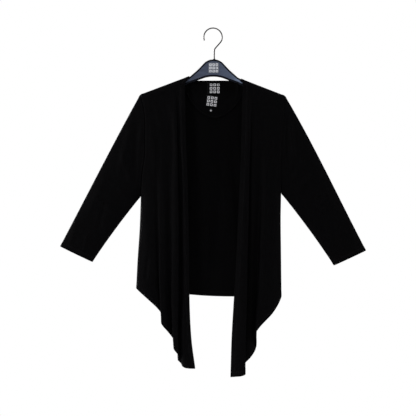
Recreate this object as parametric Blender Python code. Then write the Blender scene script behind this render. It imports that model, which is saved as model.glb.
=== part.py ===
"""Tie-front cardigan in light jersey, hanging on a moulded hanger with a wire hook.

Metres, +Z up, the garment's front faces -Y. The origin is the inner top of the hook, where it hangs.
Right and left are the wearer's, so the right half is at -X. Each cloth piece is a grid of points on the
middle of the cloth: columns run across the piece, rows run down it. The wall grows from those points.
"""

import math

import bpy
import numpy as np

# ---- Driving sizes -------------------------------------------------------------------------------

CLOTH = 0.0015  # wall of every cut piece
LABEL = 0.0010  # wall of a label
SEAM_GAP = 0.0003  # between two pieces that meet
LAY_GAP = 0.0009  # between the back and the facing that lies on it
ARMHOLE_GAP = 0.0005  # between the body and a sleeve, whose walls meet at an angle

SHOULDER_DEPTH = 0.0125  # half the garment's depth just under the shoulder seam
BODY_DEPTH = 0.0195  # the same from the chest down
CHEST_DROP = 0.150  # from the shoulder seam to where the full depth is reached
SHOULDER_ROUND = 0.014  # the cloth turns over the hanger's arm within this drop
ARMHOLE_DEPTH = 0.0150  # half the sleeve's depth at the armhole
CUFF_DEPTH = 0.0110  # half the sleeve's depth at the cuff
OVAL_POWER = 2.3  # 2 is an ellipse, more is flatter with rounder ends

NECK_DEPTH = 0.0150  # how far the back neck edge stands behind the shoulder seams
NECK_ROUND = 0.018  # it bends back to that within this distance of the neck point
NECK_EDGE = -0.1481  # height of the straight back neck edge
NECK_TURN = 0.020  # from the neck point, the back neck edge reaches that height within this distance
NECK_COLUMNS = (0.012, 0.030)  # the back's closer columns there, as shares of its width

FACING_MIDDLE = 0.005  # where its scoop is lowest, across
FACING_OVAL = 0.0905  # half width of the half-moon that the facing is cut from
FACING_POWER = 1.7  # 2 would be an ellipse, less is more pointed
FACING_DROP = 0.109  # from the back neck edge to the lowest place
FACING_SPREAD = (0.22, 0.50)  # it widens between these shares of the way down
FACING_ROWS = 9

HANGER_TILT = 0.010  # radians, the wearer's left side hangs lower
HANGER_ACROSS = 0.0018  # its middle, beside the hook's
HOOK_RADIUS = 0.025  # inside of the bend
WIRE_RADIUS = 0.00175


def table(names, *rows):
    """A table with named columns, as one array for each column."""
    return {name: np.array(column, float) for name, column in zip(names, zip(*rows))}


# Each side's own sizes. Points are (across, height).
RIGHT = {
    "sign": -1,
    "neck": (-0.0690, -0.1372),
    "shoulder": (-0.2090, -0.1900),
    "armhole": table(
        ("height", "across"),
        (-0.1900, -0.2090),
        (-0.2300, -0.1985),
        (-0.2800, -0.1945),
        (-0.3500, -0.1945),
        (-0.4200, -0.2030),
        (-0.4819, -0.2071),
    ),
    "side_seam": table(
        ("height", "across"),
        (-0.4819, -0.2071),
        (-0.5740, -0.2104),
        (-0.6660, -0.2165),
        (-0.7466, -0.2205),
    ),
    "front_edge": table(
        ("height", "across"),
        (-0.1600, -0.0815),
        (-0.2150, -0.0806),
        (-0.2920, -0.0791),
        (-0.4560, -0.0728),
        (-0.6230, -0.0693),
        (-0.8100, -0.0667),
        (-0.8960, -0.0616),
        (-0.9720, -0.0515),
    ),
    "rim": 0.026,  # within this distance of the side seam the front rounds back to it
    # The cuff's corners, and how far the sleeve's outer and inner edges bow out from straight.
    "cuff_outer": (-0.4392, -0.6258),
    "cuff_inner": (-0.3470, -0.6703),
    "bow": (0.0015, -0.0030),
}
LEFT = {
    "sign": 1,
    "neck": (0.0805, -0.1443),
    "shoulder": (0.2065, -0.1932),
    "armhole": table(
        ("height", "across"),
        (-0.1932, 0.2065),
        (-0.2400, 0.2030),
        (-0.3000, 0.2000),
        (-0.3783, 0.1945),
        (-0.4300, 0.1940),
        (-0.4733, 0.1955),
    ),
    "side_seam": table(
        ("height", "across"),
        (-0.4733, 0.1955),
        (-0.5510, 0.1942),
        (-0.6430, 0.1952),
        (-0.7696, 0.1966),
    ),
    "front_edge": table(
        ("height", "across"),
        (-0.1660, 0.0868),
        (-0.2150, 0.0845),
        (-0.2750, 0.0826),
        (-0.3840, 0.0797),
        (-0.5366, 0.0725),
        (-0.7005, 0.0650),
        (-0.8100, 0.0580),
        (-0.8900, 0.0535),
        (-0.9930, 0.0505),
    ),
    "rim": 0.044,
    "cuff_outer": (0.4394, -0.6376),
    "cuff_inner": (0.3478, -0.6802),
    "bow": (0.0040, -0.0035),
}

# How each front hangs at its hem, from the side seam to the front edge.
# cloth: share of the cloth's width. across: share of the width that shows, smaller again where the cloth
# folds back on itself. back: how far behind the face of the front it lies. drop: hem below the side seam's.
FOLD_COLUMNS = ("cloth", "across", "back", "drop")
RIGHT["folds"] = table(
    FOLD_COLUMNS,
    (0.000, 0.000, 0.000, 0.000),
    (0.110, 0.205, 0.001, 0.028),
    (0.205, 0.375, 0.002, 0.052),
    (0.250, 0.448, 0.004, 0.065),
    (0.283, 0.490, 0.008, 0.074),
    (0.308, 0.514, 0.008, 0.080),
    (0.331, 0.512, 0.002, 0.086),
    (0.360, 0.484, -0.003, 0.092),
    (0.390, 0.464, -0.009, 0.097),
    (0.425, 0.496, -0.012, 0.105),
    (0.470, 0.560, -0.009, 0.117),
    (0.520, 0.625, -0.002, 0.131),
    (0.565, 0.678, 0.004, 0.144),
    (0.594, 0.706, 0.005, 0.152),
    (0.618, 0.706, -0.001, 0.158),
    (0.645, 0.684, -0.006, 0.164),
    (0.673, 0.670, -0.012, 0.170),
    (0.704, 0.704, -0.015, 0.179),
    (0.740, 0.770, -0.014, 0.191),
    (0.768, 0.798, -0.008, 0.197),
    (0.792, 0.806, 0.002, 0.202),
    (0.818, 0.823, 0.011, 0.207),
    (0.845, 0.858, 0.012, 0.213),
    (0.868, 0.878, 0.004, 0.218),
    (0.888, 0.888, -0.006, 0.222),
    (0.915, 0.912, -0.012, 0.225),
    (0.955, 0.954, -0.010, 0.227),
    (1.000, 1.000, -0.003, 0.228),
)
LEFT["folds"] = table(
    FOLD_COLUMNS,
    (0.000, 0.000, 0.000, 0.000),
    (0.070, 0.052, 0.002, 0.017),
    (0.135, 0.125, 0.001, 0.035),
    (0.200, 0.215, -0.001, 0.052),
    (0.270, 0.335, -0.004, 0.069),
    (0.335, 0.452, -0.006, 0.087),
    (0.385, 0.520, -0.004, 0.102),
    (0.420, 0.538, 0.002, 0.111),
    (0.460, 0.519, 0.010, 0.124),
    (0.500, 0.502, 0.019, 0.137),
    (0.545, 0.509, 0.025, 0.150),
    (0.600, 0.540, 0.022, 0.161),
    (0.665, 0.614, 0.016, 0.176),
    (0.725, 0.705, 0.014, 0.189),
    (0.763, 0.758, 0.015, 0.196),
    (0.788, 0.776, 0.010, 0.201),
    (0.812, 0.756, 0.002, 0.208),
    (0.838, 0.718, -0.004, 0.214),
    (0.866, 0.714, -0.011, 0.220),
    (0.903, 0.790, -0.013, 0.225),
    (0.950, 0.895, -0.010, 0.227),
    (1.000, 1.000, -0.004, 0.229),
)
# Towards the hem, from FLARE_START of the way down, the fold along the front edge widens by this share of
# the front. That moves the cloth from FLARE_FROM on.
RIGHT["flare"], LEFT["flare"] = 0.10, 0.0
FLARE_START, FLARE_FROM, FLARE_RISE, FLARE_FALL = 0.72, 0.70, 0.14, 0.13
NECK_SLANT = 0.03  # by this share of the way down, the front edge has come out from the neck point

# The folds are none at the shoulder seam and start within this share of the way down. They then grow by this
# power of it: the one beside the front edge soon, the others softly and mostly towards the hem.
GROWTH_FROM = 0.10
RIGHT["growth"] = table(("cloth", "power"), (0.00, 2.2), (0.62, 2.2), (0.76, 0.7), (1.00, 0.7))
LEFT["growth"] = table(("cloth", "power"), (0.00, 1.7), (0.66, 1.7), (0.79, 0.7), (1.00, 0.7))

# Where the facing's columns stand at its scoop and, drawn in between the neck points, at its top.
FACING_WIDTHS = table(
    ("low", "top"),
    (-0.0825, -0.0640),
    (-0.0550, -0.0550),
    (0.0650, 0.0650),
    (0.0925, 0.0765),
)

# The back's hem, and the soft folds that hang from its shoulder blades.
BACK_HEM = table(
    ("share", "height"),
    (0.00, -0.7466),
    (0.18, -0.7585),
    (0.36, -0.7652),
    (0.50, -0.7698),
    (0.70, -0.7712),
    (1.00, -0.7696),
)
BACK_FOLDS = table(
    ("share", "proud", "spread"),
    (0.17, 0.0040, 0.045),
    (0.31, -0.0030, 0.060),
    (0.52, 0.0030, 0.070),
    (0.71, -0.0030, 0.055),
    (0.84, 0.0045, 0.050),
)
FOLDS_FROM_SEAM = 0.08  # they fade out within this share of the width from a side seam

# Which way the cloth leaves the body at the armhole, by share of the way down it.
ARMHOLE_WAY = table(
    ("share", "out", "up"),
    (0.00, 0.80, -0.60),
    (0.08, 0.93, -0.36),
    (0.30, 1.00, -0.05),
    (0.70, 1.00, 0.05),
    (1.00, 0.95, 0.32),
)

ARMHOLE_ROWS = (0, 0.008, 0.026, 0.065, 0.14, 0.26, 0.41, 0.57, 0.73, 0.86, 0.94, 0.983, 1)
ROWS_BELOW_ARMHOLE = 11
SLEEVE_RINGS = 12
RING_POWER = 1.15  # over 1, the rings stand closer at the armhole than at the cuff
SEAM_COLUMNS = (0, 0.008, 0.026, 0.058)  # closer columns where a piece rounds to its side seam
BACK_SEAM_SHARE = 0.7  # the back's closer columns, as a share of those
WIDE_STEP = 0.045  # a step in a front's fold table over this share gets a column in its middle too
BACK_COLUMNS = 15  # between those of the two side seams

HANGER_SECTIONS = table(
    ("out", "top", "low", "half"),
    (0.0000, -0.0892, -0.1378, 0.0062),
    (0.0090, -0.0897, -0.1381, 0.0062),
    (0.0150, -0.0918, -0.1390, 0.0062),
    (0.0236, -0.0966, -0.1408, 0.0062),
    (0.0347, -0.1079, -0.1447, 0.0061),
    (0.0453, -0.1190, -0.1487, 0.0060),
    (0.0585, -0.1306, -0.1533, 0.0058),
    (0.0672, -0.1383, -0.1563, 0.0057),
    (0.0710, -0.1412, -0.1580, 0.0057),
    (0.0760, -0.1436, -0.1605, 0.0056),
    (0.0790, -0.1474, -0.1618, 0.0056),
    (0.0980, -0.1552, -0.1690, 0.0056),
    (0.1500, -0.1740, -0.1864, 0.0056),
    (0.1850, -0.1863, -0.1972, 0.0054),
    (0.1930, -0.1903, -0.1980, 0.0046),
    (0.1965, -0.1932, -0.1972, 0.0028),
)
HANGER_STEPS = 2  # sections between two rows of the table
HANGER_BEVEL = 0.28  # share of a section's thickness that its bevel takes
HANGER_LOW_BEVEL = 0.30  # and the most of its height

# ---- Curves through tables -----------------------------------------------------------------------


def through(rows, at, by, value):
    """The value column at these places of the by column, on a smooth curve that doesn't overshoot."""
    order = np.argsort(rows[by])
    x, y = rows[by][order], rows[value][order]
    slope = np.diff(y) / np.diff(x)
    tangent = np.concatenate([slope[:1], (slope[:-1] + slope[1:]) / 2, slope[-1:]])
    turning = np.concatenate([[False], slope[:-1] * slope[1:] <= 0, [False]])
    tangent[turning] = 0
    at = np.clip(np.asarray(at, float), x[0], x[-1])
    i = np.clip(np.searchsorted(x, at, side="right") - 1, 0, len(x) - 2)
    width = x[i + 1] - x[i]
    t = (at - x[i]) / width
    start = (1 + 2 * t) * (1 - t) ** 2 * y[i] + t * (1 - t) ** 2 * width * tangent[i]
    end = t**2 * (3 - 2 * t) * y[i + 1] + t**2 * (t - 1) * width * tangent[i + 1]
    return start + end


def blend(a, b, share):
    return a + (b - a) * share


def ease(share):
    share = np.clip(share, 0, 1)
    return share**2 * (3 - 2 * share)


def quarter_round(distance, radius):
    """0 at the edge and 1 from radius on, rising as a quarter of a circle does."""
    share = np.clip(np.asarray(distance, float) / radius, 0, 1)
    return np.sqrt(1 - (1 - share) ** 2)


def oval(share):
    """Depth of a flat tube at this share of the way across it, 0 at both edges and 1 between."""
    share = np.clip(np.asarray(share, float), 0, 1)
    return (1 - np.abs(2 * share - 1) ** OVAL_POWER) ** (1 / OVAL_POWER)


# ---- The garment's form --------------------------------------------------------------------------


def side_across(side, height):
    """Where the body ends at the side: the armhole's curve, and the side seam under it."""
    underarm = side["side_seam"]["height"][0]
    arm = through(side["armhole"], height, "height", "across")
    seam = through(side["side_seam"], height, "height", "across")
    return np.where(np.asarray(height) > underarm, arm, seam)


def side_depth(side, height):
    """Half the depth at that edge: the sleeve's at the armhole, none at the side seam."""
    top, underarm = side["shoulder"][1], side["side_seam"]["height"][0]
    return ARMHOLE_DEPTH * oval((top - np.asarray(height)) / (top - underarm))


def shoulder_height(side, share):
    """Height of the shoulder seam, from the shoulder point at 0 to the neck point at 1."""
    return blend(side["shoulder"][1], side["neck"][1], share)


def body_depth(drop):
    """Half the depth this far below the shoulder seam."""
    return blend(SHOULDER_DEPTH, BODY_DEPTH, ease(drop / CHEST_DROP)) * quarter_round(drop, SHOULDER_ROUND)


def rounded_to_side(side, height, depth, inward):
    """That depth, brought down to the side's own within the rim."""
    edge = side_depth(side, height)
    return edge + np.maximum(depth - edge, 0) * quarter_round(inward, side["rim"])


def armhole_share(side):
    """How far down the side edge, from shoulder to hem, the underarm is."""
    top, hem = side["shoulder"][1], side["side_seam"]["height"][-1]
    return (top - side["side_seam"]["height"][0]) / (top - hem)


def row_shares(side):
    """The rows' places down the side edge. The first rows end at the underarm."""
    under = armhole_share(side)
    below = np.linspace(under, 1, ROWS_BELOW_ARMHOLE + 1)[1:]
    return np.concatenate([np.array(ARMHOLE_ROWS) * under, below])


def front_points(side):
    """The middle of one front's cloth, rows by columns."""
    folds = side["folds"]
    starts, ends = folds["cloth"][1:-1], folds["cloth"][2:]
    middles = ((starts + ends) / 2)[ends - starts > WIDE_STEP]
    cloth = np.unique(np.concatenate([SEAM_COLUMNS, folds["cloth"][1:], middles]))
    down = row_shares(side)[:, None]
    top = shoulder_height(side, cloth)
    hem = side["side_seam"]["height"][-1] - through(folds, cloth, "cloth", "drop")
    height = top + (hem - top) * down
    growth = down ** through(side["growth"], cloth, "cloth", "power") * ease(down / GROWTH_FROM)
    edge_fold = ease((cloth - FLARE_FROM) / FLARE_RISE) * ease((1 - cloth) / FLARE_FALL)
    flare = side["flare"] * edge_fold * ease((down - FLARE_START) / (1 - FLARE_START))
    across = blend(cloth, through(folds, cloth, "cloth", "across"), growth) - flare
    outer = side_across(side, height)
    edge = through(side["front_edge"], height, "height", "across")
    inner = blend(side["neck"][0], edge, ease(down / NECK_SLANT))
    depth = rounded_to_side(side, height, body_depth(top - height), cloth * np.abs(inner - outer))
    behind = through(folds, cloth, "cloth", "back") * growth
    forward = -(SEAM_GAP / 2 + depth) + behind
    return np.stack([blend(outer, inner, across), forward, height], axis=-1)


def neck_distance(across):
    """How far inside the nearer neck point a place on the back is, below 0 on the shoulders."""
    return np.minimum(across - RIGHT["neck"][0], LEFT["neck"][0] - across)


def back_top(across):
    """Height of the back's upper edge: shoulder seam, neck edge, shoulder seam."""
    heights = []
    for side in (RIGHT, LEFT):
        share = (across - side["shoulder"][0]) / (side["neck"][0] - side["shoulder"][0])
        heights.append(shoulder_height(side, np.clip(share, 0, 1)))
    seams = np.where(across < 0, *heights)
    return blend(seams, NECK_EDGE, ease(neck_distance(across) / NECK_TURN))


def back_depth(across, height, drop):
    """How far the back stands behind the shoulder seams."""
    at_top = NECK_DEPTH * quarter_round(neck_distance(across), NECK_ROUND)
    full = np.maximum(body_depth(drop), at_top)
    right = rounded_to_side(RIGHT, height, full, across - side_across(RIGHT, height))
    left = rounded_to_side(LEFT, height, full, side_across(LEFT, height) - across)
    return np.where(across < 0, right, left)


def back_points():
    """The middle of the back's cloth, rows by columns, from the wearer's right to left."""
    edge = np.array(SEAM_COLUMNS) * BACK_SEAM_SHARE
    corners = [
        (side["neck"][0] - RIGHT["shoulder"][0]) / (LEFT["shoulder"][0] - RIGHT["shoulder"][0])
        for side in (RIGHT, LEFT)
    ]
    between = np.linspace(edge[-1], 1 - edge[-1], BACK_COLUMNS + 2)
    nearest = [np.abs(between - corner).argmin() for corner in corners]
    between[nearest] = corners
    turns = np.concatenate([corners[0] + np.array(NECK_COLUMNS), corners[1] - np.array(NECK_COLUMNS)])
    share = np.unique(np.concatenate([edge, between, 1 - edge, turns]))
    down = blend(row_shares(RIGHT)[:, None], row_shares(LEFT)[:, None], share)
    at_top = blend(RIGHT["shoulder"][0], LEFT["shoulder"][0], share)
    top = back_top(at_top)
    height = top + (through(BACK_HEM, share, "share", "height") - top) * down
    across = blend(side_across(RIGHT, height), side_across(LEFT, height), share)
    depth = back_depth(across, height, top - height)
    waves = sum(
        proud * np.exp(-(((share - place) / spread) ** 2))
        for place, proud, spread in zip(*BACK_FOLDS.values())
    )
    middle = np.clip(np.minimum(share, 1 - share) / FOLDS_FROM_SEAM, 0, 1)
    depth = depth + waves * middle * ease(down)
    return np.stack([across, SEAM_GAP / 2 + depth, height], axis=-1), share


def armhole_ring(side, front, back):
    """The closed seam between body and sleeve: its points, the way out along the sleeve, and outward
    normals. It starts at the shoulder point, comes down the front, and goes up the back."""
    last = len(ARMHOLE_ROWS) - 1
    points = np.concatenate([front[: last + 1], back[last - 1 : 0 : -1]])
    points[[0, last], 1] = 0
    share = np.concatenate([ARMHOLE_ROWS, ARMHOLE_ROWS[-2:0:-1]])
    out = side["sign"] * through(ARMHOLE_WAY, share, "share", "out")
    up = through(ARMHOLE_WAY, share, "share", "up")
    way = np.stack([out, np.zeros(len(out)), up], axis=-1)
    way /= np.linalg.norm(way, axis=1, keepdims=True)
    along = np.roll(points, -1, axis=0) - np.roll(points, 1, axis=0)
    normal = np.cross(way, along)
    normal /= np.linalg.norm(normal, axis=1, keepdims=True)
    outward = points - points.mean(axis=0)
    normal *= np.sign((normal * outward).sum(axis=1, keepdims=True))
    squared_to_seam(normal, [0, last])
    return points, way, normal


def sleeve_points(side, ring, way):
    """The middle of a sleeve's cloth: rings from the armhole to the cuff."""
    last = len(ARMHOLE_ROWS) - 1
    share = np.concatenate([ARMHOLE_ROWS, ARMHOLE_ROWS[-2:0:-1]])
    face = np.concatenate([-np.ones(last + 1), np.ones(last - 1)])
    start = ring + way * ARMHOLE_GAP
    outer, inner = np.array(side["cuff_outer"]), np.array(side["cuff_inner"])
    at_cuff = blend(outer, inner, (0.5 - 0.5 * np.cos(math.pi * share))[:, None])
    cuff_share = (at_cuff[:, 0] - outer[0]) / (inner[0] - outer[0])
    end = np.stack([at_cuff[:, 0], face * CUFF_DEPTH * oval(cuff_share), at_cuff[:, 1]], axis=-1)
    down = np.linspace(0, 1, SLEEVE_RINGS + 1)[:, None, None] ** RING_POWER
    points = blend(start, end, down)
    slope = outer - inner
    way_out = np.array([slope[0], 0, slope[1]]) / np.linalg.norm(slope)
    at_shoulder = down * (1 - down) ** 2 * 27 / 4
    at_middle = down * (1 - down) * 4
    bow = blend(side["bow"][0] * at_shoulder, -side["bow"][1] * at_middle, share[None, :, None])
    return points + bow * way_out


# ---- Solids --------------------------------------------------------------------------------------


def normals_of(points, closed=False):
    """Unit normals of a grid of points, towards columns x rows."""
    if closed:
        across = np.roll(points, -1, axis=1) - np.roll(points, 1, axis=1)
    else:
        across = np.gradient(points, axis=1)
    down = np.gradient(points, axis=0)
    normal = np.cross(across, down)
    return normal / np.maximum(np.linalg.norm(normal, axis=-1, keepdims=True), 1e-12)


def material(name, colour, roughness, metallic=0.0):
    made = bpy.data.materials.new(name)
    made.use_nodes = True
    shader = made.node_tree.nodes["Principled BSDF"]
    shader.inputs["Base Color"].default_value = (*colour, 1)
    shader.inputs["Roughness"].default_value = roughness
    shader.inputs["Metallic"].default_value = metallic
    return made


def add_solid(name, points, faces, finish):
    """One closed body from these corners and faces, with its faces turned outwards."""
    mesh = bpy.data.meshes.new(name)
    mesh.from_pydata([tuple(p) for p in points], [], faces)
    corners = np.array(points)[np.array(faces)]
    if np.einsum("ij,ij->", np.cross(corners[:, 0], corners[:, 1]), corners[:, 2]) < 0:
        mesh.flip_normals()
    mesh.materials.append(finish)
    mesh.shade_smooth()
    mesh.set_sharp_from_angle(angle=math.radians(40))
    made = bpy.data.objects.new(name, mesh)
    bpy.context.scene.collection.objects.link(made)
    return made


def wall(name, points, normals, thickness, finish, closed=False):
    """A wall of even thickness about a grid of points. Both skins are cut along the same diagonals, so they
    stay apart on a twisted fold. Closed grids are tubes, open at both ends."""
    rows, columns = points.shape[:2]
    skins = np.concatenate([points + normals * thickness / 2, points - normals * thickness / 2])
    corner = np.arange(2 * rows * columns).reshape(2, rows, columns)
    faces = []
    turns = columns if closed else columns - 1
    for row in range(rows - 1):
        for column in range(turns):
            beside = (column + 1) % columns
            for skin, order in ((0, 1), (1, -1)):
                a, b = corner[skin, row, column], corner[skin, row, beside]
                c, d = corner[skin, row + 1, beside], corner[skin, row + 1, column]
                faces += [(a, b, c)[::order], (a, c, d)[::order]]
    if closed:
        rims = [list(corner[0, 0]) + [corner[0, 0, 0]], (list(corner[0, -1]) + [corner[0, -1, 0]])[::-1]]
    else:
        edge = list(corner[0, 0]) + list(corner[0, 1:, -1])
        edge += list(corner[0, -1, -2::-1]) + list(corner[0, -2::-1, 0])
        rims = [edge]
    other = rows * columns
    for rim in rims:
        for a, b in zip(rim[:-1], rim[1:]):
            faces += [(b, a, a + other), (b, a + other, b + other)]
    faces = [tuple(int(i) for i in face) for face in faces]
    return add_solid(name, skins.reshape(-1, 3), faces, finish)


def squared_to_seam(normals, part):
    """Turns the normals of one edge into the seam's own plane, so that the two pieces lie face to face."""
    flat = normals[part] * (1, 0, 1)
    normals[part] = flat / np.linalg.norm(flat, axis=-1, keepdims=True)


# ---- Body and sleeves ----------------------------------------------------------------------------


def make_garment(jersey):
    """The back, the two fronts and the two sleeves, each from its own points."""
    under = len(ARMHOLE_ROWS)
    back, share = back_points()
    back_normals = normals_of(back)
    if back_normals[10, 10, 1] < 0:
        back_normals = -back_normals
    top = np.nonzero(neck_distance(back[0, :, 0]) <= 1e-4)[0]
    squared_to_seam(back_normals, (0, top))
    for side, name, edge in ((RIGHT, "right", 0), (LEFT, "left", -1)):
        front = front_points(side)
        front_normals = normals_of(front)
        if front_normals[3, 8, 1] > 0:
            front_normals = -front_normals
        ring, way, ring_normals = armhole_ring(side, front[:, 0], back[:, edge])
        squared_to_seam(front_normals, 0)
        for normals, column in ((front_normals, 0), (back_normals, edge)):
            squared_to_seam(normals, (slice(under, None), column))
        front_normals[:under, 0] = ring_normals[:under]
        back_normals[0, edge] = ring_normals[0]
        back_normals[under - 1, edge] = ring_normals[under - 1]
        back_normals[1 : under - 1, edge] = ring_normals[: under - 1 : -1]
        wall(f"front_{name}", front, front_normals, CLOTH, jersey)
        sleeve = sleeve_points(side, ring, way)
        sleeve_normals = normals_of(sleeve, closed=True)
        if sleeve_normals[5, 7, 1] > 0:
            sleeve_normals = -sleeve_normals
        sleeve_normals[0] = ring_normals
        wall(f"sleeve_{name}", sleeve, sleeve_normals, CLOTH, jersey, closed=True)
    wall("back_panel", back, back_normals, CLOTH, jersey)
    return back, back_normals, share


# ---- Half-moon facing and labels -----------------------------------------------------------------


def inside_back(back, across, height, lift):
    """Points on the back's own facets, moved this far in towards the wearer, and their normals."""
    points, normals, share = back
    place = (across - side_across(RIGHT, height)) / (side_across(LEFT, height) - side_across(RIGHT, height))
    column = np.clip(np.searchsorted(share, place, side="right") - 1, 0, len(share) - 2)
    beside = (place - share[column]) / (share[column + 1] - share[column])
    made = np.zeros((*across.shape, 6))
    for at in np.ndindex(across.shape):
        c, f = column[at], beside[at]
        line = blend(*(np.concatenate([points[:, i], normals[:, i]], axis=1) for i in (c, c + 1)), f)
        made[at] = [np.interp(-height[at], -line[:, 2], line[:, i]) for i in range(6)]
    normal = -made[..., 3:] / np.linalg.norm(made[..., 3:], axis=-1, keepdims=True)
    return made[..., :3] + normal * lift, normal


def make_facing(jersey, back):
    """The half-moon inside the back neck, cut from the back's own points moved in."""
    ends = FACING_WIDTHS["low"][[0, -1]]
    columns = back[0][0, :, 0]
    columns = columns[(columns > ends[0] + 0.001) & (columns < ends[1] - 0.001)]
    columns = np.concatenate([ends[:1], columns, ends[1:]])
    columns = np.sort(np.concatenate([columns, (columns[1:] + columns[:-1]) / 2]))
    off = np.abs(columns - FACING_MIDDLE) / FACING_OVAL
    low = NECK_EDGE - FACING_DROP * (1 - off**FACING_POWER) ** (1 / FACING_POWER)
    at_top = np.interp(columns, FACING_WIDTHS["low"], FACING_WIDTHS["top"])
    top = back_top(at_top) - CLOTH / 2
    share = np.linspace(0, 1, FACING_ROWS)[:, None]
    height = blend(top, low, share)
    across = blend(at_top, columns, ease((share - FACING_SPREAD[0]) / np.ptp(FACING_SPREAD)))
    points, normals = inside_back(back, across, height, CLOTH + LAY_GAP)
    wall("neck_facing", points, normals, CLOTH, jersey)


LABELS = (
    # name, centre across, centre height, width, height, turn in degrees
    ("label_neck", 0.0029, -0.1705, 0.0400, 0.0330, 0.0),
    ("label_lower", -0.0032, -0.2078, 0.0360, 0.0330, 8.0),
    ("label_size", -0.0058, -0.2342, 0.0110, 0.0100, 8.0),
)


def make_labels(ribbon, back):
    """The labels on the facing, each a short piece of woven tape laid on its surface."""
    lift = 1.5 * CLOTH + LAY_GAP + SEAM_GAP + LABEL / 2
    for name, middle, level, width, length, turn in LABELS:
        u, w = np.meshgrid(np.linspace(-width / 2, width / 2, 5), np.linspace(length / 2, -length / 2, 5))
        c, s = math.cos(math.radians(turn)), math.sin(math.radians(turn))
        points, normals = inside_back(back, middle + u * c + w * s, level + w * c - u * s, lift)
        wall(name, points, normals, LABEL, ribbon)


# ---- Hanger --------------------------------------------------------------------------------------


def make_hanger(plastic):
    """The moulded hanger, as bevelled sections from one arm's end to the other's."""
    out = HANGER_SECTIONS["out"]
    places = np.concatenate([np.linspace(a, b, HANGER_STEPS, endpoint=False) for a, b in zip(out, out[1:])])
    places = np.append(places, out[-1])
    across = np.concatenate([-places[:0:-1], places])
    names = ("top", "low", "half")
    section = {name: through(HANGER_SECTIONS, np.abs(across), "out", name) for name in names}
    points = []
    for x, top, low, half in zip(across, section["top"], section["low"], section["half"]):
        bevel = min(HANGER_BEVEL * 2 * half, HANGER_LOW_BEVEL * (top - low))
        inner = half - bevel
        lean = -HANGER_TILT * x
        x += HANGER_ACROSS
        for y, z in (
            (-inner, top), (inner, top), (half, top - bevel), (half, low + bevel),
            (inner, low), (-inner, low), (-half, low + bevel), (-half, top - bevel),
        ):
            points.append((x, y, z + lean))
    sides = 8
    faces = []
    for i in range(len(across) - 1):
        for j in range(sides):
            a, b = i * sides + j, i * sides + (j + 1) % sides
            faces += [(a, b, b + sides), (a, b + sides, a + sides)]
    last = (len(across) - 1) * sides
    for j in range(1, sides - 1):
        faces += [(0, j + 1, j), (last, last + j, last + j + 1)]
    add_solid("hanger_body", points, faces, plastic)


HOOK_ARC = (200, -18)  # degrees, from the open tip over the top to the shank's side
HOOK_ARC_POINTS = 22
# The crank from the bend's lower end to the shank, as (across, height), and the shank's lower end, which is
# just above the hanger's crest.
HOOK_CRANK = ((0.0228, -0.0385), (0.0066, -0.0565), (0.0036, -0.0610))
SHANK_END = -0.0889


def make_hook(steel):
    """The wire hook: the open bend, the cranked neck and the shank."""
    radius = HOOK_RADIUS + WIRE_RADIUS
    angles = np.radians(np.linspace(*HOOK_ARC, HOOK_ARC_POINTS))
    route = [(radius * math.cos(a), radius * math.sin(a) - HOOK_RADIUS) for a in angles]
    corners = np.array([route[-1], *HOOK_CRANK, (HOOK_CRANK[-1][0], SHANK_END)])
    for start, end in zip(corners[:-1], corners[1:]):
        route += [tuple(blend(start, end, share)) for share in (1 / 3, 2 / 3, 1)]
    smooth = np.array(route)
    for _ in range(2):
        smooth[1:-1] = (smooth[:-2] + 2 * smooth[1:-1] + smooth[2:]) / 4
    smooth[:, 1] += WIRE_RADIUS - smooth[:, 1].max()
    smooth[-1, 1] = SHANK_END
    curve = bpy.data.curves.new("hanger_hook", "CURVE")
    curve.dimensions = "3D"
    curve.bevel_depth = WIRE_RADIUS
    curve.bevel_resolution = 2
    curve.use_fill_caps = True
    line = curve.splines.new("POLY")
    line.points.add(len(smooth) - 1)
    for point, (x, z) in zip(line.points, smooth):
        point.co = (x, 0, z, 1)
    curve.materials.append(steel)
    made = bpy.data.objects.new("hanger_hook", curve)
    bpy.context.scene.collection.objects.link(made)


# ---- Build ---------------------------------------------------------------------------------------

for old in list(bpy.data.objects):
    bpy.data.objects.remove(old)

black_jersey = material("black jersey", (0.0035, 0.0032, 0.0038), 0.75)
back_cloth = make_garment(black_jersey)
make_facing(black_jersey, back_cloth)
make_labels(material("woven ribbon", (0.30, 0.30, 0.32), 0.6), back_cloth)
make_hanger(material("navy plastic", (0.022, 0.030, 0.045), 0.30))
make_hook(material("grey steel wire", (0.35, 0.34, 0.34), 0.25, metallic=1.0))
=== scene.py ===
"""Tie-front cardigan in fine black jersey, on a moulded shop hanger with a wire hook.

Metres. The front faces -Y, the origin is the inner top of the hook, and right and left are the wearer's.
Each cloth piece is a grid of points on the middle of its cloth: columns run across it, rows run down it.
"""

import math

import bpy
import numpy as np
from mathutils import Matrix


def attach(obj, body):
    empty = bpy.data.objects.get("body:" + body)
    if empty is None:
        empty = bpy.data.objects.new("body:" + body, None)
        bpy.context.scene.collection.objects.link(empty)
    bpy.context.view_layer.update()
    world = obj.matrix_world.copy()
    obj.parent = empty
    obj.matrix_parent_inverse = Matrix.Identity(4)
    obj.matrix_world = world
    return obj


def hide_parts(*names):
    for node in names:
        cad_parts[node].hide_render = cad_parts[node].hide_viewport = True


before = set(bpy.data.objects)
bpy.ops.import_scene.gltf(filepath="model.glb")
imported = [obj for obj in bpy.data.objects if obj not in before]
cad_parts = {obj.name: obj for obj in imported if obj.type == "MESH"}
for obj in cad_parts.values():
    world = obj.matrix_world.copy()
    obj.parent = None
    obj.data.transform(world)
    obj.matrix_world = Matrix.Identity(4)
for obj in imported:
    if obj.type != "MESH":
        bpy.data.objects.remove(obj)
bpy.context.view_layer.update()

# ---- The room ------------------------------------------------------------------------------------
# A product picture's plain studio: a pale floor well below the points, a white surround, and large soft
# lamps in front and behind, so that black cloth still shows its folds. The camera looks straight on.

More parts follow.
